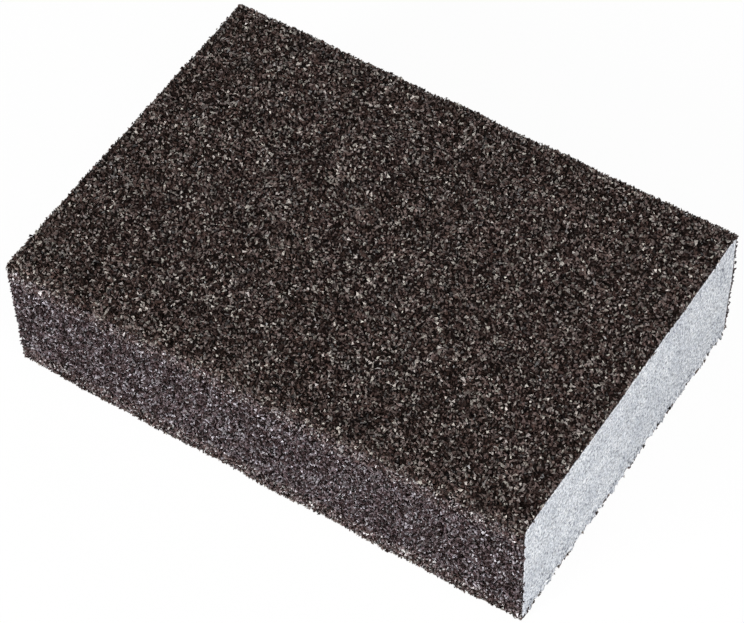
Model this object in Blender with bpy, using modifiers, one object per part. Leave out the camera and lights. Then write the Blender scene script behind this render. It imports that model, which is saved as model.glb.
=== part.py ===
"""Sanding sponge: a foam block wrapped on four sides in an abrasive coat, with its two ends bare.

Such sponges are cut from a long foam bar that is coated all round, so the coat is one sleeve that
ends flush with the foam at both cuts.

Units are metres. +X runs along the length, through the bare ends, +Y across the width and +Z up.
The origin is the middle of the face that the sponge rests on.
"""

import bmesh
import bpy

# Overall size, measured over the grit.
SPONGE_LENGTH = 0.100
SPONGE_WIDTH = 0.0697
SPONGE_HEIGHT = 0.027

# Build-up from the foam outwards: the bond, then the resin with its single layer of grit.
BOND_GAP = 0.0003
COAT_THICKNESS = 0.0005

# The foam bar's long edges are sawn nearly sharp, and the coat turns round them.
FOAM_EDGE_RADIUS = 0.0004
EDGE_SEGMENTS = 8

# Linear colours with roughness, as the two materials look from a step away.
FOAM_COLOUR = (0.60, 0.62, 0.66)
FOAM_ROUGHNESS = 0.95
COAT_COLOUR = (0.072, 0.060, 0.057)
COAT_ROUGHNESS = 0.75

COLLECTION_NAME = "sanding_sponge"
BEVEL_WEIGHT_LAYER = "bevel_weight_edge"


def clear_scene():
    for obj in list(bpy.data.objects):
        bpy.data.objects.remove(obj, do_unlink=True)


def make_collection(name):
    collection = bpy.data.collections.new(name)
    bpy.context.scene.collection.children.link(collection)
    return collection


def make_material(name, colour, roughness):
    material = bpy.data.materials.new(name)
    material.use_nodes = True
    shader = material.node_tree.nodes["Principled BSDF"]
    shader.inputs["Base Color"].default_value = (*colour, 1.0)
    shader.inputs["Roughness"].default_value = roughness
    shader.inputs["Metallic"].default_value = 0.0
    material.diffuse_color = (*colour, 1.0)
    return material


def runs_lengthwise(edge):
    """True for an edge parallel to X, which on the bar is one of its four long edges."""
    along = edge.verts[1].co - edge.verts[0].co
    return abs(along.x) > max(abs(along.y), abs(along.z))


def make_bar(name, width, height, edge_radius, open_ends=False):
    """A bar of the sponge's length, lying at half the sponge's height, with its long edges rounded.

    With open_ends, the two end faces are left out, so that the bar is a sleeve with no wall yet.
    """
    bpy.ops.mesh.primitive_cube_add(size=1.0, location=(0.0, 0.0, SPONGE_HEIGHT / 2))
    bar = bpy.context.object
    bar.name = name
    bar.data.name = name
    bar.scale = (SPONGE_LENGTH, width, height)
    bpy.ops.object.transform_apply(location=False, rotation=False, scale=True)

    mesh = bmesh.new()
    mesh.from_mesh(bar.data)
    if open_ends:
        ends = [face for face in mesh.faces if abs(face.normal.x) > 0.5]
        bmesh.ops.delete(mesh, geom=ends, context="FACES_ONLY")
    weight = mesh.edges.layers.float.new(BEVEL_WEIGHT_LAYER)
    for edge in mesh.edges:
        edge[weight] = 1.0 if runs_lengthwise(edge) else 0.0
    mesh.to_mesh(bar.data)
    mesh.free()

    bevel = bar.modifiers.new("long_edges", "BEVEL")
    bevel.limit_method = "WEIGHT"
    bevel.width = edge_radius
    bevel.segments = EDGE_SEGMENTS
    bar.data.shade_smooth()
    bar.data.set_sharp_from_angle(angle=0.6)
    return bar


def make_foam_block():
    """The foam core, set in from the overall size by the coat and its bond on all four coated sides."""
    inset = COAT_THICKNESS + BOND_GAP
    block = make_bar(
        "foam_block",
        width=SPONGE_WIDTH - 2 * inset,
        height=SPONGE_HEIGHT - 2 * inset,
        edge_radius=FOAM_EDGE_RADIUS,
    )
    block.data.materials.append(make_material("pale_foam", FOAM_COLOUR, FOAM_ROUGHNESS))
    return block


def make_abrasive_coat():
    """The coat, one sleeve of even thickness whose rounded edges are concentric with the foam's."""
    coat = make_bar(
        "abrasive_coat",
        width=SPONGE_WIDTH,
        height=SPONGE_HEIGHT,
        edge_radius=FOAM_EDGE_RADIUS + BOND_GAP + COAT_THICKNESS,
        open_ends=True,
    )
    wall = coat.modifiers.new("wall", "SOLIDIFY")
    wall.thickness = COAT_THICKNESS
    wall.offset = -1.0
    wall.use_even_offset = True
    coat.data.materials.append(make_material("grit_and_resin", COAT_COLOUR, COAT_ROUGHNESS))
    return coat


def assemble(collection, pieces):
    """Moves the pieces into the collection, under one empty at the sponge's origin."""
    origin = bpy.data.objects.new("sanding_sponge_origin", None)
    collection.objects.link(origin)
    for piece in pieces:
        for holder in list(piece.users_collection):
            holder.objects.unlink(piece)
        collection.objects.link(piece)
        piece.parent = origin


def main():
    clear_scene()
    collection = make_collection(COLLECTION_NAME)
    assemble(collection, [make_foam_block(), make_abrasive_coat()])


main()
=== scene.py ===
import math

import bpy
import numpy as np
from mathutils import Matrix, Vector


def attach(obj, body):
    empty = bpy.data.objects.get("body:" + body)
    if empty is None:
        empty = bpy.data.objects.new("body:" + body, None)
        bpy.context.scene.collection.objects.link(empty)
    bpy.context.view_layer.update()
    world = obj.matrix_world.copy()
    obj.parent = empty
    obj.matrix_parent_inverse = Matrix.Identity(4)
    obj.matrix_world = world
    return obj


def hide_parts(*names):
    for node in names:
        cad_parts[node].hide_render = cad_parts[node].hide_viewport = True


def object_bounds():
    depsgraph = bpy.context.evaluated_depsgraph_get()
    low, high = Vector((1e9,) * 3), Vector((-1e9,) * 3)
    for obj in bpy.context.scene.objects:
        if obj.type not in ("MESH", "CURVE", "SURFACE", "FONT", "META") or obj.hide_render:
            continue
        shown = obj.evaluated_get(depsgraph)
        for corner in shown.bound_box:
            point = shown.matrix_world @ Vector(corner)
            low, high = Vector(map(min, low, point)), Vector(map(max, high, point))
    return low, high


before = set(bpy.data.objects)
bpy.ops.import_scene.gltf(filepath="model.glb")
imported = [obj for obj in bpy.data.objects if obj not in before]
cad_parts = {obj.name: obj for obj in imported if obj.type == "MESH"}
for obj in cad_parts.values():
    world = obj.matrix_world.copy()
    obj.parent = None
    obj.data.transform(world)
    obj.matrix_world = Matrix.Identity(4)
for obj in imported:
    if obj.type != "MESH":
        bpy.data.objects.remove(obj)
cad_low, cad_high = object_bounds()

# Sanding sponge: a pale foam block in a sleeve of resin and separate dark grains, on a white floor.
#
# Metres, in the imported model's frame. +X runs out of one bare foam end, +Y across the width, +Z up.
# The coat is built on a developed strip: x along the sponge, and t across one coated face and half way
# round each of its two long edges. Depths are measured inwards from the coat's outer surface, and the
# grains' tips stand a little out of it.
# At the end every piece gets the same slow waves, because the real block is soft and cut by a blade.

MM = 0.001

# Overall size, from the frame.
LENGTH = cad_high.x - cad_low.x
WIDTH = cad_high.y - cad_low.y
HEIGHT = cad_high.z - cad_low.z
MIDDLE_Z = (cad_high.z + cad_low.z) / 2
END_X = LENGTH / 2

# Against the CAD model's surface, the photograph shows the wide faces a little inside and the narrow
# ones a little outside.
WIDE_FACE_INSET = 0.18 * MM
NARROW_FACE_OUTSET = 0.15 * MM
HALF_WIDTH = WIDTH / 2 + NARROW_FACE_OUTSET
HALF_HEIGHT = HEIGHT / 2 - WIDE_FACE_INSET

# The coat, from its outside in. The resin ends a little behind the cut.
EDGE_RADIUS = 1.2 * MM
RESIN_DEPTH = 0.30 * MM
FOAM_DEPTH = 0.80 * MM
RESIN_SET_BACK = 0.12 * MM
RESIN_STEP = 0.8 * MM

# The grains: their spacing on the wide faces and on the narrow ones, how far they stray from even
# spacing, and how deep their middles sit.
WIDE_PITCH = 0.435 * MM
NARROW_PITCH = 0.36 * MM
SPOT_JITTER = 0.45
GRAIN_DEPTH = 0.12 * MM
GRAIN_DEPTH_SPREAD = 0.12 * MM

# Each grain's shape: its half size to the spacing, the spread of that and its limits in standard
# deviations, its stretch along three axes, how far its corners stray, and a shard's size to a crystal's.
GRAIN_SIZE = 0.63
GRAIN_SPREAD = 0.20
GRAIN_SPREAD_LIMITS = (-2.0, 1.6)
GRAIN_STRETCHES = [(1.0, 1.8), (0.70, 1.05), (0.60, 0.90)]
CORNER_JITTER = 0.22
CORNER_JITTER_LIMIT = 1.8
SHARD_SIZE = 0.75

# How far a grain stands out of the coat, and the part of what is past a limit that is kept.
GRAIN_PROUD_MAX = 0.36 * MM
PAST_LIMIT = 0.15

# The room left free round each grain's cell on the map that a bake uses, in cells.
CELL_MARGIN = 0.06

# The cut ends. The blade went in from the top, so the bottom coat is drawn back behind the foam there,
# with some grains torn outwards. Reaches are measured from the cut, as (least, most).
TOP_REACH = (-0.12 * MM, 0.04 * MM)
SIDE_REACH = (-0.16 * MM, 0.13 * MM)
BOTTOM_REACH = (-0.30 * MM, 0.02 * MM)
TORN_REACH = (-0.06 * MM, 0.22 * MM)
TORN_DEPTHS = (0.12 * MM, 0.75 * MM)
TORN_SIZE = 1.2
TORN_PROUD = 0.14 * MM

# The torn grains come in clumps along the cut.
CLUMP_LENGTHS = (2.3 * MM, 4.3 * MM, 11.0 * MM)
CLUMPING = 1.9

# The grains that show in the sleeve's cut wall, under the outer ones.
WALL_INSET = 0.15 * MM
WALL_DEPTHS = (0.35 * MM, 0.75 * MM)

# The narrow faces are coloured as the top is at their long edges. A band of painted highlight follows,
# and then their own colour, with painted light that makes it paler and cooler than the top's. Distances
# run in from the middle of the edge, and wander along it. The band is at full strength over a part of
# its reach, because its peak strength is set above 1.
SIDE_START = 0.9 * MM
SIDE_FULL = 1.7 * MM
SIDE_LOOK = 0.75
PAINTED_HIGHLIGHT_AT = 2.5 * MM
PAINTED_HIGHLIGHT_REACH = 2.0 * MM
PAINTED_HIGHLIGHT_FULL = 1.7
FOLD_WAVES = (3.1 * MM, 4.7 * MM, 7.9 * MM)
FOLD_WANDER = 0.25 * MM

# The wide faces' darker and paler patches.
PATCH_WAVES = 14
PATCH_LENGTHS = (3.0 * MM, 14.0 * MM)
PATCH_SPREAD = 0.12
PATCH_LIMITS = (0.6, 1.4)

# The foam block, and the mesh on it: fine on its cut ends, coarse along it.
FOAM_HALF_WIDTH = HALF_WIDTH - FOAM_DEPTH
FOAM_HALF_HEIGHT = HALF_HEIGHT - FOAM_DEPTH
FOAM_STEP = 0.24 * MM
FOAM_ALONG = 24
FOAM_COUNTS = (
    FOAM_ALONG,
    int(round(2 * FOAM_HALF_WIDTH / FOAM_STEP)),
    int(round(2 * FOAM_HALF_HEIGHT / FOAM_STEP)),
)
FOAM_SEED = 31

# The foam's cut ends: how rough they are, how far their points stray sideways in steps, and the share
# and depth of their pits, which keep clear of the rim. Limits are in standard deviations.
CUT_ROUGHNESS = 0.034 * MM
CUT_ROUGHNESS_LIMIT = 2.5
CUT_JITTER = 0.35
PIT_SHARE = 0.38
PIT_DEPTH = 0.20 * MM
PIT_LEAST = 0.3
PIT_FREE_RIM = 0.45 * MM

# The ragged rims of the cut ends. The lower one is rougher, and wanders in slow waves.
RIM_ROUGHNESS = 0.05 * MM
RIM_ROUGHNESS_LIMIT = 2
LOWER_RIM_ROUGHNESS = 0.15 * MM
LOWER_RIM_WAVES = (1.1 * MM, 1.9 * MM, 3.4 * MM, 7.3 * MM)
LOWER_RIM_WANDER = 0.13 * MM

# The lip that the blade left at the lower rim: the foam there is dragged down and out, the more the
# nearer it is to the rim, and no further in from the cut than the lip's length.
LIP_LENGTH = 0.4 * MM
LIP_REACH = 1.4 * MM
LIP_DROP = 0.34 * MM
LIP_FLARE = 0.12 * MM
LIP_FLARE_WANDER = 0.07 * MM

# The dark specks in the foam above the lower rim: how far up they are found, and their share.
SPECK_REACH = 1.3 * MM
SPECK_SHARE = 0.15

# The block's slow waves, and how far its two cuts lean over the height: both the same way, and apart
# as a share of the length.
WAVE_SEED = 2314
WAVE_COUNT = 9
WAVE_LENGTHS = (6 * MM, 28 * MM)
WAVE_HEIGHTS = (0.018 * MM, 0.032 * MM, 0.032 * MM)
CUTS_LEAN = -0.165 * MM
CUTS_SPREAD = 0.004

# The camera, fitted to the straight edges of the sponge in a 744 x 623 frame.
CAMERA_PLACE = (0.169018, -0.253847, 0.411049)
CAMERA_RIGHT = (0.842548, 0.538404, -0.015370)
CAMERA_DOWN = (0.421006, -0.676094, -0.604693)
CAMERA_FORWARD = (-0.335960, 0.503010, -0.796312)
CAMERA_LENS = 142.723
SENSOR_WIDTH = 36.0
CLIP_START = 0.01
CLIP_END = 50.0


class Face:
    """One coated face of the sleeve, from half way round one long edge to half way round the next.

    across and out are its directions, half_width half its width to the outsides of its edges, reach
    its distance from the sponge's middle, past_cut how far its grains reach past the cuts, and
    torn_share how many of them are torn there.
    """

    def __init__(self, name, across, out, half_width, reach, past_cut, torn_share, seed):
        self.name = name
        self.across = np.array(across, float)
        self.out = np.array(out, float)
        self.half_width = half_width
        self.reach = reach
        self.past_cut = past_cut
        self.torn_share = torn_share
        self.seed = seed

    @property
    def flat(self):
        """Half the width of the flat part."""
        return self.half_width - EDGE_RADIUS

    @property
    def half_strip(self):
        """Half the developed width: the flat part and an eighth of a turn."""
        return self.flat + EDGE_RADIUS * math.pi / 4

    @property
    def is_side(self):
        return self.out[2] == 0

    @property
    def pitch(self):
        return NARROW_PITCH if self.is_side else WIDE_PITCH

    def place(self, x, t, depth):
        """Points of the strip in the frame, with the outward normal and the tangent across there."""
        turn = np.clip((np.abs(t) - self.flat) / EDGE_RADIUS, 0, None)
        angle = np.sign(t) * turn
        radius = EDGE_RADIUS - depth
        on_flat = np.clip(np.abs(t), None, self.flat) * np.sign(t)
        u = on_flat + radius * np.sin(angle)
        height = self.reach - EDGE_RADIUS + radius * np.cos(angle)
        normal = np.cos(angle)[:, None] * self.out + np.sin(angle)[:, None] * self.across
        tangent = np.cos(angle)[:, None] * self.across - np.sin(angle)[:, None] * self.out
        point = u[:, None] * self.across + height[:, None] * self.out
        point[:, 0] += x
        point[:, 2] += MIDDLE_Z
        return point, normal, tangent


TOP = Face(
    "top", (0, 1, 0), (0, 0, 1), HALF_WIDTH, HALF_HEIGHT, TOP_REACH, torn_share=0.02, seed=11
)
BOTTOM = Face(
    "bottom", (0, -1, 0), (0, 0, -1), HALF_WIDTH, HALF_HEIGHT, BOTTOM_REACH, torn_share=0.28, seed=12
)
FRONT = Face(
    "front", (0, 0, 1), (0, -1, 0), HALF_HEIGHT, HALF_WIDTH, SIDE_REACH, torn_share=0.08, seed=13
)
BACK = Face(
    "back", (0, 0, -1), (0, 1, 0), HALF_HEIGHT, HALF_WIDTH, SIDE_REACH, torn_share=0.12, seed=14
)
FACES = (TOP, BOTTOM, FRONT, BACK)
ROUND_THE_SLEEVE = (TOP, BACK, BOTTOM, FRONT)


# Slow waves

def make_waves(rng):
    """Random plane waves: wave numbers along each axis, phases, and which way each one pushes."""
    heading = rng.normal(size=(WAVE_COUNT, 3))
    heading /= np.linalg.norm(heading, axis=1)[:, None]
    numbers = 2 * math.pi / np.geomspace(*WAVE_LENGTHS, WAVE_COUNT)
    phase = rng.uniform(0, 2 * math.pi, WAVE_COUNT)
    push = np.array(WAVE_HEIGHTS) * rng.normal(size=(WAVE_COUNT, 3))
    return heading * numbers[:, None], phase, push


WAVES = make_waves(np.random.default_rng(WAVE_SEED))


def uneven(points):
    """The points moved by the block's slow waves and by the lean of its cuts."""
    numbers, phase, push = WAVES
    moved = points + np.sin(points @ numbers.T + phase) @ push
    above = (points[:, 2] - MIDDLE_Z) / HEIGHT
    moved[:, 0] *= 1 + CUTS_SPREAD * above
    moved[:, 0] += CUTS_LEAN * above
    return moved


# Meshes

def new_mesh_object(name, points, faces, smooth=False, spots=None):
    """An object from an (n, 3) array of points and an (m, k) array of faces.

    spots, an (m, k, 2) array, says where each face lies on the flat map that a bake uses.
    """
    mesh = bpy.data.meshes.new(name)
    count, corners = faces.shape
    mesh.vertices.add(len(points))
    mesh.vertices.foreach_set("co", uneven(points).astype(np.float32).ravel())
    mesh.loops.add(count * corners)
    mesh.loops.foreach_set("vertex_index", faces.astype(np.int32).ravel())
    mesh.polygons.add(count)
    mesh.polygons.foreach_set("loop_start", np.arange(0, count * corners, corners, dtype=np.int32))
    mesh.polygons.foreach_set("use_smooth", np.full(count, smooth))
    mesh.update(calc_edges=True)
    if spots is not None:
        layer = mesh.uv_layers.new(name="OFBake")
        layer.data.foreach_set("uv", spots.astype(np.float32).ravel())
    mesh.validate()
    obj = bpy.data.objects.new(name, mesh)
    bpy.context.scene.collection.objects.link(obj)
    return obj


def store_value(obj, name, values):
    """Keeps one number for each point of the mesh, for its material to read."""
    layer = obj.data.attributes.new(name, "FLOAT", "POINT")
    layer.data.foreach_set("value", values.astype(np.float32))


def random_rotations(rng, count):
    """Rotation matrices spread evenly over all directions, from random unit quaternions."""
    q = rng.normal(size=(count, 4))
    q /= np.linalg.norm(q, axis=1)[:, None]
    w, x, y, z = q.T
    rows = [
        [1 - 2 * (y * y + z * z), 2 * (x * y - z * w), 2 * (x * z + y * w)],
        [2 * (x * y + z * w), 1 - 2 * (x * x + z * z), 2 * (y * z - x * w)],
        [2 * (x * z - y * w), 2 * (y * z + x * w), 1 - 2 * (x * x + y * y)],
    ]
    return np.array(rows).transpose(2, 0, 1)


# Where the grains are

def grain_spots(face, rng):
    """Jittered places for grains over the strip, as x and t."""
    along = int(round(LENGTH / face.pitch))
    across = int(round(2 * face.half_strip / face.pitch))
    i, j = np.meshgrid(np.arange(along), np.arange(across), indexing="ij")
    jitter = rng.uniform(-SPOT_JITTER, SPOT_JITTER, (2, along, across))
    x = (i + 0.5 + jitter[0]) / along * LENGTH - END_X
    t = ((j + 0.5 + jitter[1]) / across * 2 - 1) * face.half_strip
    return x.ravel(), t.ravel()


def wall_spots(face, rng):
    """A row of places just inside each cut, as x, t and depth."""
    across = int(round(2 * face.half_strip / face.pitch))
    t = (rng.uniform(0, 1, (2, across)) + np.arange(across)) / across * 2 - 1
    x = np.full((2, across), END_X - WALL_INSET) * np.array([[1], [-1]])
    depth = rng.uniform(*WALL_DEPTHS, 2 * across)
    return x.ravel(), t.ravel() * face.half_strip, depth


def all_spots(face, rng):
    """The places of all the grains of a face, as x, t and depth."""
    x, t = grain_spots(face, rng)
    depth = GRAIN_DEPTH + GRAIN_DEPTH_SPREAD * rng.normal(size=len(x))
    wall_x, wall_t, wall_depth = wall_spots(face, rng)
    x = np.concatenate([x, wall_x])
    t = np.concatenate([t, wall_t])
    depth = np.concatenate([depth, wall_depth])
    return x, t, depth


def clumps(t, rng):
    """How much likelier than usual a grain at the cut is to be torn: torn grains come in clumps."""
    total = np.zeros(len(t))
    for length in CLUMP_LENGTHS:
        total += np.sin(2 * math.pi * t / length + rng.uniform(0, 2 * math.pi))
    return CLUMPING * np.clip(total, 0, None)


def find_torn(face, x, t, rng):
    """True for the grains that the blade tore: some of those within one spacing of a cut."""
    at_cut = END_X - np.abs(x) < face.pitch
    dice = rng.random(len(x))
    return at_cut & (dice < face.torn_share * clumps(t, rng))


# How the grains are coloured for their places, painted light included

def painted_light_share(face, x, t, rng):
    """Painted light: 0 as on the top, SIDE_LOOK on a narrow face, and 1 in the band of painted
    highlight.
    """
    if not face.is_side:
        return np.zeros(len(x))
    wander = np.zeros(len(x))
    for length in FOLD_WAVES:
        phase = rng.uniform(0, 2 * math.pi, 2)
        wander += FOLD_WANDER * np.sin(2 * math.pi * x / length + phase[(t > 0).astype(int)])
    inwards = face.half_strip - np.abs(t) + wander
    # side is the narrow face's painted light, and pale the band of painted highlight in from its edges.
    side = np.clip((inwards - SIDE_START) / (SIDE_FULL - SIDE_START), 0, 1)
    pale = np.clip(PAINTED_HIGHLIGHT_FULL * (1 - np.abs(inwards - PAINTED_HIGHLIGHT_AT) / PAINTED_HIGHLIGHT_REACH), 0, 1)
    return SIDE_LOOK * side + (1 - SIDE_LOOK) * pale * side


def patchiness(face, x, t, rng):
    """How pale each grain is for its place: the wide faces have slightly darker and paler patches."""
    if face.is_side:
        return np.ones(len(x))
    total = np.zeros(len(x))
    for length in np.geomspace(*PATCH_LENGTHS, PATCH_WAVES):
        heading, phase = rng.uniform(0, 2 * math.pi, 2)
        along = x * math.cos(heading) + t * math.sin(heading)
        total += np.sin(2 * math.pi * along / length + phase)
    return np.clip(1 + PATCH_SPREAD * total / math.sqrt(PATCH_WAVES / 2), *PATCH_LIMITS)


# Grains

def crystal(sides):
    """A double pyramid on a ring of sides corners: its points and outward triangles."""
    turns = [2 * math.pi * i / sides for i in range(sides)]
    points = [(math.cos(a), math.sin(a), 0) for a in turns] + [(0, 0, 1), (0, 0, -1)]
    faces = []
    for i in range(sides):
        j = (i + 1) % sides
        faces += [(i, j, sides), (j, i, sides + 1)]
    return np.array(points, float), np.array(faces)


def shard():
    """A tetrahedron about as big as a crystal."""
    points = [(1, 1, 1), (-1, -1, 1), (-1, 1, -1), (1, -1, -1)]
    faces = [(0, 2, 1), (0, 1, 3), (0, 3, 2), (1, 2, 3)]
    return np.array(points) * SHARD_SIZE, np.array(faces)


GRAIN_SHAPES = [shard(), crystal(3), crystal(4)]
GRAIN_SHARES = (0.50, 0.38, 0.12)


def grain_scales(face, torn, rng):
    """Each grain's half size along its own three axes. Torn ones are larger."""
    count = len(torn)
    spread = np.clip(rng.normal(size=count), *GRAIN_SPREAD_LIMITS)
    size = GRAIN_SIZE * face.pitch * np.exp(GRAIN_SPREAD * spread)
    size = np.where(torn, TORN_SIZE * size, size)
    stretch = [rng.uniform(*limits, count) for limits in GRAIN_STRETCHES]
    return np.stack(stretch, axis=1) * size[:, None]


def soft_limit(values, limit):
    """Values past the limit, pressed back towards it but not flat onto it."""
    return np.where(values > limit, limit + PAST_LIMIT * (values - limit), values)


class Grains:
    """All the grains of one face, drawn at random: one array for each of their properties.

    look carries the painted light in their colour and patch their patches; centre, normal and tangent
    say where they stand, scale, turn and kind give their shape, and end is how far along X each may
    reach.
    """

    def __init__(self, face):
        self.rng = np.random.default_rng(face.seed)
        x, t, depth = all_spots(face, self.rng)
        self.count = len(x)
        self.look = painted_light_share(face, x, t, self.rng)
        self.patch = patchiness(face, x, t, self.rng)
        torn = find_torn(face, x, t, self.rng)
        torn_to = END_X + self.rng.uniform(*TORN_REACH, self.count)
        x = np.where(torn, torn_to * np.sign(x), x)
        self.depth = np.where(torn, self.rng.uniform(*TORN_DEPTHS, self.count), depth)
        self.centre, self.normal, self.tangent = face.place(x, t, self.depth)
        self.scale = grain_scales(face, torn, self.rng)
        self.turn = random_rotations(self.rng, self.count)
        self.kind = self.rng.choice(len(GRAIN_SHAPES), size=self.count, p=GRAIN_SHARES)
        end = END_X + self.rng.uniform(*face.past_cut, self.count)
        self.end = np.where(torn, torn_to + TORN_PROUD, end)

    def corners(self, chosen, shape):
        """The corners of the chosen grains, all of one shape, as a (grains, corners, 3) array."""
        stray = self.rng.normal(size=(len(chosen), len(shape), 3))
        local = shape + CORNER_JITTER * np.clip(stray, -CORNER_JITTER_LIMIT, CORNER_JITTER_LIMIT)
        local *= self.scale[chosen][:, None, :]
        local = np.einsum("nij,nkj->nki", self.turn[chosen], local)
        highest = (self.depth[chosen] + GRAIN_PROUD_MAX)[:, None]
        local[:, :, 2] = soft_limit(local[:, :, 2], highest)
        along = np.tile([1.0, 0.0, 0.0], (len(chosen), 1))
        axes = np.stack([along, self.tangent[chosen], self.normal[chosen]], axis=1)
        solid = np.einsum("nki,nij->nkj", local, axes) + self.centre[chosen][:, None, :]
        past = soft_limit(np.abs(solid[:, :, 0]), self.end[chosen][:, None])
        solid[:, :, 0] = past * np.sign(solid[:, :, 0])
        return solid


def cell_sectors(triangles):
    """A unit cell of the map cut into as many sectors as a grain has triangles.

    The sectors meet in the cell's middle. Their outer corners are spaced evenly along its four sides,
    once round from the lower left.
    """
    around = np.linspace(0, 4, triangles + 1)
    u = np.clip(np.minimum(around, 3 - around), 0, 1)
    v = np.clip(np.minimum(around - 1, 4 - around), 0, 1)
    rim = np.stack([u, v], axis=1)
    middle = np.full((triangles, 2), 0.5)
    return np.stack([middle, rim[:-1], rim[1:]], axis=1)


def grain_map(chosen, count, triangles):
    """Where the triangles of the chosen grains lie on the map, which has a cell for each of count."""
    cells = math.ceil(math.sqrt(count))
    cell = np.stack([chosen % cells, chosen // cells], axis=1)[:, None, None, :]
    sectors = CELL_MARGIN + (1 - 2 * CELL_MARGIN) * cell_sectors(triangles)
    return ((cell + sectors) / cells).reshape(-1, 3, 2)


def make_grains(face):
    """All the grains of one face, each a closed faceted solid standing in the resin."""
    grains = Grains(face)
    points, faces, looks, patches, spots, total = [], [], [], [], [], 0
    for kind, (shape, triangles) in enumerate(GRAIN_SHAPES):
        chosen = np.flatnonzero(grains.kind == kind)
        corners = len(shape)
        starts = total + corners * np.arange(len(chosen))
        points.append(grains.corners(chosen, shape).reshape(-1, 3))
        faces.append((triangles[None] + starts[:, None, None]).reshape(-1, 3))
        looks.append(np.repeat(grains.look[chosen], corners))
        patches.append(np.repeat(grains.patch[chosen], corners))
        spots.append(grain_map(chosen, grains.count, len(triangles)))
        total += len(chosen) * corners
    obj = new_mesh_object(
        "grit_" + face.name, np.concatenate(points), np.concatenate(faces), spots=np.concatenate(spots)
    )
    # Each grain's share of painted light, which its colour follows.
    store_value(obj, "painted_light_share", np.concatenate(looks))
    store_value(obj, "patch", np.concatenate(patches))
    return obj


# Resin

def sleeve_outline(depth):
    """The sleeve's whole outline at a depth, once round, as (y, z) pairs."""
    points = []
    for face in ROUND_THE_SLEEVE:
        count = int(round(2 * face.half_strip / RESIN_STEP))
        t = np.linspace(-face.half_strip, face.half_strip, count, endpoint=False)
        place, _, _ = face.place(np.zeros(count), t, np.full(count, depth))
        points.append(place[:, 1:])
    return np.concatenate(points)


def sleeve_wall(xs, outline):
    """Points of one side of the sleeve's wall: the outline repeated at each x."""
    wall = np.zeros((len(xs), len(outline), 3))
    wall[:, :, 0] = xs[:, None]
    wall[:, :, 1:] = outline
    return wall.reshape(-1, 3)


def make_resin():
    """The resin sleeve under the grains: a closed shell, open at both ends as the coat is."""
    end = END_X - RESIN_SET_BACK
    rows = int(round(2 * end / RESIN_STEP)) + 1
    xs = np.linspace(-end, end, rows)
    outer = sleeve_outline(RESIN_DEPTH)
    inner = sleeve_outline(FOAM_DEPTH)
    points = np.concatenate([sleeve_wall(xs, outer), sleeve_wall(xs[::-1], inner)])
    around = np.arange(len(outer))
    after = (around + 1) % len(outer)
    faces = []
    for row in range(2 * rows):
        this = row * len(outer)
        following = (row + 1) % (2 * rows) * len(outer)
        corners = [this + around, following + around, following + after, this + after]
        faces.append(np.stack(corners, axis=1))
    return new_mesh_object("resin_skin", points, np.concatenate(faces), smooth=True)


# Foam

def lattice_box(counts):
    """Surface points of a box of counts cells, as integers, with its outward quads and their sides."""
    nx, ny, nz = counts

    def side(fixed_axis, value, flip):
        axes = [a for a in range(3) if a != fixed_axis]
        ranges = [np.arange(counts[a] + 1) for a in axes]
        cell = np.zeros((len(ranges[0]), len(ranges[1]), 3), int)
        cell[..., fixed_axis] = value
        cell[..., axes[0]] = ranges[0][:, None]
        cell[..., axes[1]] = ranges[1][None, :]
        code = (cell[..., 0] * (ny + 1) + cell[..., 1]) * (nz + 1) + cell[..., 2]
        quads = np.stack([code[:-1, :-1], code[1:, :-1], code[1:, 1:], code[:-1, 1:]], axis=-1)
        quads = quads.reshape(-1, 4)
        return quads[:, ::-1] if flip else quads

    sides = [
        side(0, nx, False), side(0, 0, True),
        side(1, ny, True), side(1, 0, False),
        side(2, nz, False), side(2, 0, True),
    ]
    quads = np.concatenate(sides)
    which = np.repeat(np.arange(len(sides)), [len(part) for part in sides])
    codes, faces = np.unique(quads, return_inverse=True)
    z = codes % (nz + 1)
    y = codes // (nz + 1) % (ny + 1)
    x = codes // ((ny + 1) * (nz + 1))
    return np.stack([x, y, z], axis=1), faces.reshape(quads.shape), which


# Where each side of the foam lies on its map: the two ends large, the four hidden sides in thin strips.
FOAM_MAP_ROWS = [(0.01, 0.38), (0.40, 0.77), (0.79, 0.83), (0.84, 0.88), (0.89, 0.93), (0.94, 0.98)]
FOAM_MAP_AXES = [(1, 2), (1, 2), (0, 2), (0, 2), (0, 1), (0, 1)]
FOAM_MAP_MARGIN = 0.01


def foam_map(cells, faces, which):
    """Where each corner of the foam's faces lies on its map."""
    share = cells / np.array(FOAM_COUNTS)
    spots = np.zeros(faces.shape + (2,))
    for side, ((low, high), (u, v)) in enumerate(zip(FOAM_MAP_ROWS, FOAM_MAP_AXES)):
        mine = faces[which == side]
        spots[which == side, :, 0] = FOAM_MAP_MARGIN + (1 - 2 * FOAM_MAP_MARGIN) * share[mine][..., u]
        spots[which == side, :, 1] = low + (high - low) * share[mine][..., v]
    return spots


def round_long_edges(points, radius):
    """Pulls the foam's points near a long edge in onto its radius."""
    inner = np.array([FOAM_HALF_WIDTH, FOAM_HALF_HEIGHT]) - radius
    over = np.abs(points[:, 1:]) - inner
    beyond = np.linalg.norm(over, axis=1)
    pull = np.where((over > 0).all(axis=1) & (beyond > radius), radius / np.maximum(beyond, 1e-9), 1.0)
    rounded = (inner + over * pull[:, None]) * np.sign(points[:, 1:])
    points[:, 1:] = np.where((pull < 1)[:, None], rounded, points[:, 1:])


def plain_block(cells):
    """The foam's points before anything happened to it, about its own middle."""
    share = cells / np.array(FOAM_COUNTS)
    points = (2 * share - 1) * np.array([END_X, FOAM_HALF_WIDTH, FOAM_HALF_HEIGHT])
    stations = np.linspace(-END_X, END_X, FOAM_ALONG + 1)
    stations[1] = LIP_LENGTH - END_X
    stations[-2] = END_X - LIP_LENGTH
    points[:, 0] = stations[cells[:, 0]]
    round_long_edges(points, EDGE_RADIUS - FOAM_DEPTH)
    return points


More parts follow.
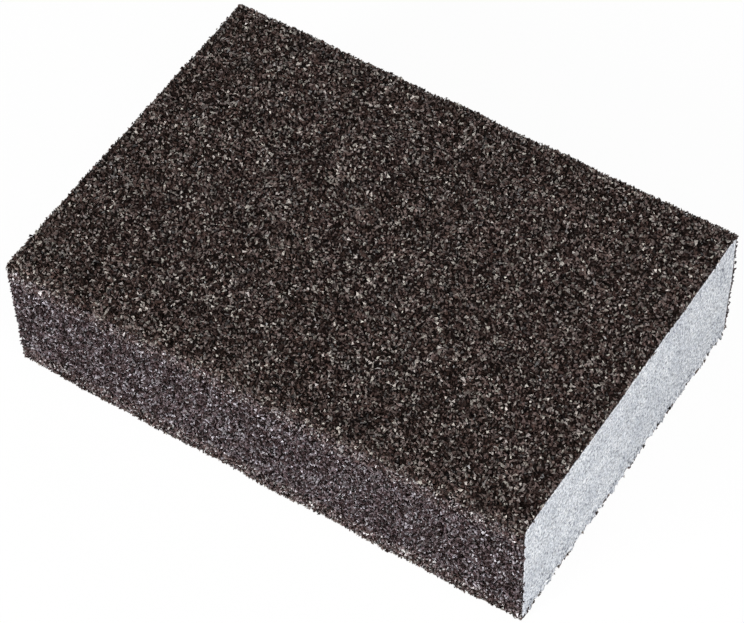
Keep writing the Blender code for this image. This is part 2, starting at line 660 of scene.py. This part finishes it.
def pit_ends(points, end, inside, rng):
    """Roughens the cut ends and sinks their pits, and says how deep in one each point is, 0 to 1."""
    count = len(points)
    from_rim = (np.array([FOAM_HALF_WIDTH, FOAM_HALF_HEIGHT]) - np.abs(points[:, 1:])).min(axis=1)
    rough = np.clip(rng.normal(size=count), -CUT_ROUGHNESS_LIMIT, CUT_ROUGHNESS_LIMIT)
    pitted = inside & (rng.random(count) < PIT_SHARE) & (from_rim > PIT_FREE_RIM)
    pit = np.where(pitted, PIT_LEAST + (1 - PIT_LEAST) * rng.random(count) ** 2, 0)
    sink = CUT_ROUGHNESS * rough + PIT_DEPTH * pit
    points[:, 0] -= np.where(end, sink, 0) * np.sign(points[:, 0])
    jitter = FOAM_STEP * rng.uniform(-CUT_JITTER, CUT_JITTER, (count, 2))
    points[:, 1:] += np.where(inside[:, None], jitter, 0)
    return pit


def fray_rims(points, rim, lower_rim, rng):
    """Makes the rims of the cut ends ragged, the lower one more than the rest."""
    ragged = np.clip(rng.normal(size=(len(points), 2)), -RIM_ROUGHNESS_LIMIT, RIM_ROUGHNESS_LIMIT)
    amount = np.where(lower_rim, LOWER_RIM_ROUGHNESS, RIM_ROUGHNESS) * rim
    points[:, 1:] += amount[:, None] * ragged


def drag_lip(points, end, lower_rim, rng):
    """Drags the foam at the lower rim of each cut down and out, unevenly along the rim."""
    drag = end * np.clip(1 - (points[:, 2] + FOAM_HALF_HEIGHT) / LIP_REACH, 0, 1)
    points[:, 2] -= LIP_DROP * drag
    points[:, 0] += LIP_FLARE * drag * np.sign(points[:, 0])
    for length in LOWER_RIM_WAVES:
        swell = np.sin(2 * math.pi * points[:, 1] / length + rng.uniform(0, 2 * math.pi))
        points[:, 2] += np.where(lower_rim, LOWER_RIM_WANDER * swell, 0)
        points[:, 0] -= LIP_FLARE_WANDER * swell * drag * np.sign(points[:, 0])


def make_foam():
    """The foam block, with its two cut ends pitted, its rims ragged and a lip at its lower rims."""
    rng = np.random.default_rng(FOAM_SEED)
    cells, faces, which = lattice_box(FOAM_COUNTS)
    points = plain_block(cells)

    end = (cells[:, 0] == 0) | (cells[:, 0] == FOAM_ALONG)
    on_rim = (cells[:, 1:] == 0) | (cells[:, 1:] == np.array(FOAM_COUNTS[1:]))
    rim = end & on_rim.any(axis=1)
    lower_rim = rim & (cells[:, 2] == 0)
    inside = end & ~rim

    pit = pit_ends(points, end, inside, rng)
    fray_rims(points, rim, lower_rim, rng)
    drag_lip(points, end, lower_rim, rng)
    points[:, 2] += MIDDLE_Z
    specks = inside & (cells[:, 2] * FOAM_STEP < SPECK_REACH) & (rng.random(len(points)) < SPECK_SHARE)
    foam = new_mesh_object("foam", points, faces, smooth=True, spots=foam_map(cells, faces, which))
    # The stored pit darkens the colour: painted shade in the pits, and the dark specks.
    store_value(foam, "pit", np.where(specks, 1.0, pit))
    # The rims but the lower one get a faint painted highlight.
    store_value(foam, "rim", rim & ~lower_rim)
    return foam


# Nodes

class Nodes:
    """A node tree, with short calls to add and link nodes."""

    def __init__(self, tree):
        self.tree = tree

    @property
    def shader(self):
        return self.tree.nodes["Principled BSDF"]

    def add(self, kind, **inputs):
        """Adds a node and sets the named inputs of it, whose names are given with _ for each space."""
        node = self.tree.nodes.new(kind)
        for key, value in inputs.items():
            node.inputs[key.replace("_", " ")].default_value = value
        return node

    def link(self, source, target):
        self.tree.links.new(source, target)

    def noise(self, scale, detail):
        """Noise in the piece's own coordinates."""
        place = self.add("ShaderNodeTexCoord")
        node = self.add("ShaderNodeTexNoise", Scale=scale, Detail=detail)
        self.link(place.outputs["Object"], node.inputs["Vector"])
        return node.outputs["Fac"]

    def stored(self, name):
        """A value kept on the mesh with store_value."""
        node = self.add("ShaderNodeAttribute")
        node.attribute_name = name
        return node.outputs["Fac"]

    def ramp(self, value, stops):
        """A colour ramp over value; stops are (position, colour)."""
        node = self.add("ShaderNodeValToRGB")
        band = node.color_ramp
        while len(band.elements) < len(stops):
            band.elements.new(0.5)
        for element, (place, colour) in zip(band.elements, stops):
            element.position = place
            element.color = (*colour, 1.0)
        self.link(value, node.inputs["Fac"])
        return node.outputs["Color"]

    def multiply(self, first, second):
        """The product of two colours."""
        node = self.add("ShaderNodeMix")
        node.data_type = "RGBA"
        node.blend_type = "MULTIPLY"
        node.inputs["Factor"].default_value = 1.0
        self.link(first, node.inputs["A"])
        self.link(second, node.inputs["B"])
        return node.outputs["Result"]

    def calculate(self, operation, first, second):
        """The outcome of one operation on two numbers."""
        node = self.add("ShaderNodeMath")
        node.operation = operation
        self.link(first, node.inputs[0])
        self.link(second, node.inputs[1])
        return node.outputs[0]

    def bump(self, height, distance, strength):
        """Bumps on the material's own shader."""
        node = self.add("ShaderNodeBump", Distance=distance, Strength=strength)
        self.link(height, node.inputs["Height"])
        self.link(node.outputs["Normal"], self.shader.inputs["Normal"])

    def show_mix(self, share, first, second, output):
        """Sends two shaders to the output: share of the second, and the rest of the first."""
        mix = self.add("ShaderNodeMixShader")
        self.link(share, mix.inputs["Fac"])
        self.link(first.outputs[0], mix.inputs[1])
        self.link(second.outputs[0], mix.inputs[2])
        self.link(mix.outputs[0], output.inputs["Surface"])


def new_material(name):
    material = bpy.data.materials.new(name)
    material.use_nodes = True
    return material, Nodes(material.node_tree)


def scaled(colour, factor):
    return tuple(factor * c for c in colour)


def grey(level):
    return (level, level, level)


WHITE = grey(1.0)

# Materials

# Ramps are given as their stops, noises as (scale, detail) and bumps as (distance, strength).

# The grains' shades in the band of painted highlight, from the darkest grain to the palest. The palest
# grains are partly pale crystals and partly painted glints.
GRIT_GROUND = (0.093, 0.0595, 0.0560)
GRIT_MID = (0.232, 0.180, 0.181)
GRIT_PALE = (0.78, 0.735, 0.735)
GRIT_SHADES = [
    (0.0, scaled(GRIT_GROUND, 0.02)),
    (0.24, scaled(GRIT_GROUND, 0.50)),
    (0.46, GRIT_GROUND),
    (0.75, GRIT_MID),
    (0.92, scaled(GRIT_PALE, 0.45)),
    (1.0, GRIT_PALE),
]

# What the colours of the top and of the narrow faces are to those in the band of painted highlight. The
# narrow faces' tint is painted light, paler and cooler than the top's.
TOP_TINT = (0.705, 0.685, 0.625)
SIDE_PAINTED_LIGHT_TINT = (0.683, 0.680, 0.735)
PAINTED_LIGHT_TINTS = [(0.0, TOP_TINT), (SIDE_LOOK, SIDE_PAINTED_LIGHT_TINT), (1.0, WHITE)]

# Each grain's slight hue, the darker chips in it, its roughness, and its gloss: most are dulled by
# resin, and some are bare.
GRIT_HUES = [(0.0, (0.97, 1.0, 0.97)), (0.5, (1.0, 0.99, 0.99)), (1.0, (0.98, 0.96, 1.0))]
CHIP_NOISE = (3600.0, 2.0)
CHIP_SHADES = [(0.37, grey(0.33)), (0.48, grey(0.86)), (0.56, WHITE)]
GRIT_ROUGHNESS = (0.22, 0.55)
GRIT_GLOSS = [(0.0, grey(0.012)), (0.70, grey(0.05)), (0.95, grey(0.6))]
GRIT_BUMP_NOISE = (9000.0, 2.0)
GRIT_BUMP = (0.03 * MM, 0.5)

# The resin under the grains: nearly black, and all but matt.
RESIN_NOISE = (900.0, 3.0)
RESIN_SHADES = [(0.3, (0.003, 0.002, 0.0016)), (0.7, (0.014, 0.009, 0.007))]
RESIN_ROUGHNESS = 0.45
RESIN_GLOSS = 0.05
RESIN_BUMP_NOISE = (2500.0, 2.0)
RESIN_BUMP = (0.08 * MM, 0.6)

# The foam's fine cells, its slow clouds, the painted grey-blue shade in its pits, which also darkens its
# specks, and the faint painted highlight on its rims, a little paler all round but along the bottom.
CELL_NOISE = (2500.0, 2.0)
CELL_SHADES = [(0.38, (0.47, 0.50, 0.56)), (0.5, (0.80, 0.83, 0.88)), (0.58, (0.95, 0.965, 0.985))]
CLOUD_NOISE = (190.0, 5.0)
CLOUD_SHADES = [(0.34, (0.84, 0.85, 0.87)), (0.60, WHITE)]
PIT_SHADE_AND_SPECKS = [(0.0, WHITE), (1.0, (0.06, 0.07, 0.10))]
RIM_PAINTED_HIGHLIGHT = [(0.0, grey(0.97)), (1.0, (1.0, 0.985, 0.985))]
FOAM_ROUGHNESS = 0.95
FOAM_GLOSS = 0.2


def grit_material():
    """Crushed mineral: each grain has its own shade, hue, roughness and gloss; painted light goes by
    place.
    """
    material, nodes = new_material("brown_grit")
    geometry = nodes.add("ShaderNodeNewGeometry")
    each = geometry.outputs["Random Per Island"]
    shuffle = nodes.add("ShaderNodeTexWhiteNoise")
    shuffle.noise_dimensions = "1D"
    nodes.link(each, shuffle.inputs["W"])
    dice = nodes.add("ShaderNodeSeparateColor")
    nodes.link(shuffle.outputs["Color"], dice.inputs["Color"])

    shade = nodes.ramp(each, GRIT_SHADES)
    # Painted light: the narrow faces paler and cooler than the top, and a band of painted highlight.
    painted_light = nodes.ramp(nodes.stored("painted_light_share"), PAINTED_LIGHT_TINTS)
    hue = nodes.ramp(dice.outputs["Red"], GRIT_HUES)
    chips = nodes.ramp(nodes.noise(*CHIP_NOISE), CHIP_SHADES)
    chips = nodes.multiply(chips, nodes.stored("patch"))
    colour = nodes.multiply(nodes.multiply(shade, painted_light), nodes.multiply(hue, chips))
    nodes.link(colour, nodes.shader.inputs["Base Color"])

    least, most = GRIT_ROUGHNESS
    roughness = nodes.add("ShaderNodeMapRange", To_Min=least, To_Max=most)
    nodes.link(dice.outputs["Green"], roughness.inputs["Value"])
    nodes.link(roughness.outputs["Result"], nodes.shader.inputs["Roughness"])
    gloss = nodes.ramp(dice.outputs["Blue"], GRIT_GLOSS)
    nodes.link(gloss, nodes.shader.inputs["Specular IOR Level"])
    nodes.bump(nodes.noise(*GRIT_BUMP_NOISE), *GRIT_BUMP)
    return material


def resin_material():
    """Dark resin, slightly clouded."""
    material, nodes = new_material("dark_resin")
    colour = nodes.ramp(nodes.noise(*RESIN_NOISE), RESIN_SHADES)
    nodes.link(colour, nodes.shader.inputs["Base Color"])
    nodes.shader.inputs["Roughness"].default_value = RESIN_ROUGHNESS
    nodes.shader.inputs["Specular IOR Level"].default_value = RESIN_GLOSS
    nodes.bump(nodes.noise(*RESIN_BUMP_NOISE), *RESIN_BUMP)
    return material


def foam_material():
    """Fine open-cell foam: pale lumps, and painted grey-blue shade in the pits where the mesh has them.

    Its rims but the lower one have a faint painted highlight.
    """
    material, nodes = new_material("pale_foam")
    cells = nodes.ramp(nodes.noise(*CELL_NOISE), CELL_SHADES)
    clouds = nodes.ramp(nodes.noise(*CLOUD_NOISE), CLOUD_SHADES)
    # Painted shade in the pits, which also darkens the specks.
    pits = nodes.ramp(nodes.stored("pit"), PIT_SHADE_AND_SPECKS)
    # A faint painted highlight on the rims.
    rim = nodes.ramp(nodes.stored("rim"), RIM_PAINTED_HIGHLIGHT)
    colour = nodes.multiply(nodes.multiply(cells, clouds), nodes.multiply(pits, rim))
    nodes.link(colour, nodes.shader.inputs["Base Color"])
    nodes.shader.inputs["Roughness"].default_value = FOAM_ROUGHNESS
    nodes.shader.inputs["Specular IOR Level"].default_value = FOAM_GLOSS
    return material


# Stage

# The floor's own white, and how far it shows the camera plain white instead: not quite near the sponge,
# so that its shadow stays, and fully far from it, so that no horizon shows.
FLOOR_SIZE = 20.0
FLOOR_WHITE = 0.9
NEAR_GLOW = 0.96
FAR_GLOW = 1.0
NEAR_REACH = 0.06
FAR_REACH = 0.20

# The surround's level, and each lamp's name, place, size, watts and colour.
SURROUND = 0.04
LAMPS = [
    ("high", (0.35, -0.35, 0.65), 0.30, 2.9, (1.0, 0.98, 0.95)),
    ("left", (-0.22, -0.74, 0.35), 0.30, 6.7, (1.0, 1.0, 1.0)),
    ("side", (0.45, -0.15, 0.30), 0.30, 1.20, (0.97, 0.98, 1.0)),
    ("front", (-0.10, -0.80, 0.10), 0.30, 1.6, (0.97, 0.98, 1.0)),
    ("back", (-0.50, 0.60, 0.15), 0.40, 2.2, (1.0, 1.0, 1.0)),
]


def sees_backdrop(nodes):
    """1 for rays that should meet a white backdrop: the camera's own, reflected and transmitted ones."""
    path = nodes.add("ShaderNodeLightPath")
    value = path.outputs["Is Camera Ray"]
    for name in ("Is Glossy Ray", "Is Transmission Ray"):
        value = nodes.calculate("MAXIMUM", value, path.outputs[name])
    return value


def floor_glow(nodes):
    """How far the floor shows plain white, by the distance from its middle."""
    place = nodes.add("ShaderNodeTexCoord")
    distance = nodes.add("ShaderNodeVectorMath")
    distance.operation = "LENGTH"
    nodes.link(place.outputs["Object"], distance.inputs[0])
    glow = nodes.add(
        "ShaderNodeMapRange", From_Min=NEAR_REACH, From_Max=FAR_REACH, To_Min=NEAR_GLOW, To_Max=FAR_GLOW
    )
    nodes.link(distance.outputs["Value"], glow.inputs["Value"])
    return glow.outputs["Result"]


def floor_material():
    """Plain white, and white to the camera where no shadow falls."""
    material, nodes = new_material("white_floor")
    nodes.tree.nodes.clear()
    diffuse = nodes.add("ShaderNodeBsdfDiffuse", Color=(*grey(FLOOR_WHITE), 1.0))
    plain = nodes.add("ShaderNodeEmission", Strength=1.0)
    share = nodes.calculate("MULTIPLY", sees_backdrop(nodes), floor_glow(nodes))
    nodes.show_mix(share, diffuse, plain, nodes.add("ShaderNodeOutputMaterial"))
    return material


def make_floor(height):
    bpy.ops.mesh.primitive_plane_add(size=FLOOR_SIZE, location=(0.0, 0.0, height))
    floor = bpy.context.object
    floor.name = "floor"
    floor.data.materials.append(floor_material())


def make_world():
    """An even grey surround that the camera and reflections see as white."""
    world = bpy.data.worlds.new("studio")
    bpy.context.scene.world = world
    world.use_nodes = True
    nodes = Nodes(world.node_tree)
    surround = world.node_tree.nodes["Background"]
    surround.inputs["Color"].default_value = (*WHITE, 1.0)
    surround.inputs["Strength"].default_value = SURROUND
    plain = nodes.add("ShaderNodeBackground", Color=(*WHITE, 1.0), Strength=1.0)
    nodes.show_mix(sees_backdrop(nodes), surround, plain, world.node_tree.nodes["World Output"])


def add_softbox(name, place, size, watts, colour):
    """A square lamp that faces the middle of the sponge."""
    light = bpy.data.lights.new(name, "AREA")
    light.shape = "SQUARE"
    light.size = size
    light.energy = watts
    light.color = colour
    lamp = bpy.data.objects.new(name, light)
    bpy.context.scene.collection.objects.link(lamp)
    lamp.location = place
    aim = Vector((0.0, 0.0, MIDDLE_Z)) - Vector(place)
    lamp.rotation_mode = "QUATERNION"
    lamp.rotation_quaternion = aim.to_track_quat("-Z", "Y")
    lamp.visible_camera = False


def make_camera():
    data = bpy.data.cameras.new("camera")
    data.lens = CAMERA_LENS
    data.sensor_width = SENSOR_WIDTH
    data.clip_start = CLIP_START
    data.clip_end = CLIP_END
    camera = bpy.data.objects.new("camera", data)
    bpy.context.scene.collection.objects.link(camera)
    right = Vector(CAMERA_RIGHT)
    up = -Vector(CAMERA_DOWN)
    back = -Vector(CAMERA_FORWARD)
    turn = Matrix((right, up, back)).transposed()
    camera.matrix_world = Matrix.Translation(CAMERA_PLACE) @ turn.to_4x4()
    bpy.context.scene.camera = camera


def dress(piece, material, node):
    """Gives a piece its material, hangs it on the root body, and hides the CAD part that it stands in
    for.
    """
    piece.data.materials.append(material)
    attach(piece, "root")
    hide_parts(node)


def main():
    make_camera()
    grit = grit_material()
    for face in FACES:
        dress(make_grains(face), grit, "abrasive_coat")
    dress(make_resin(), resin_material(), "abrasive_coat")
    foam = make_foam()
    dress(foam, foam_material(), "foam_block")
    low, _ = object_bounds()
    make_floor(low.z)
    make_world()
    for lamp in LAMPS:
        add_softbox(*lamp)
    bpy.context.scene.view_settings.view_transform = "Standard"


main()
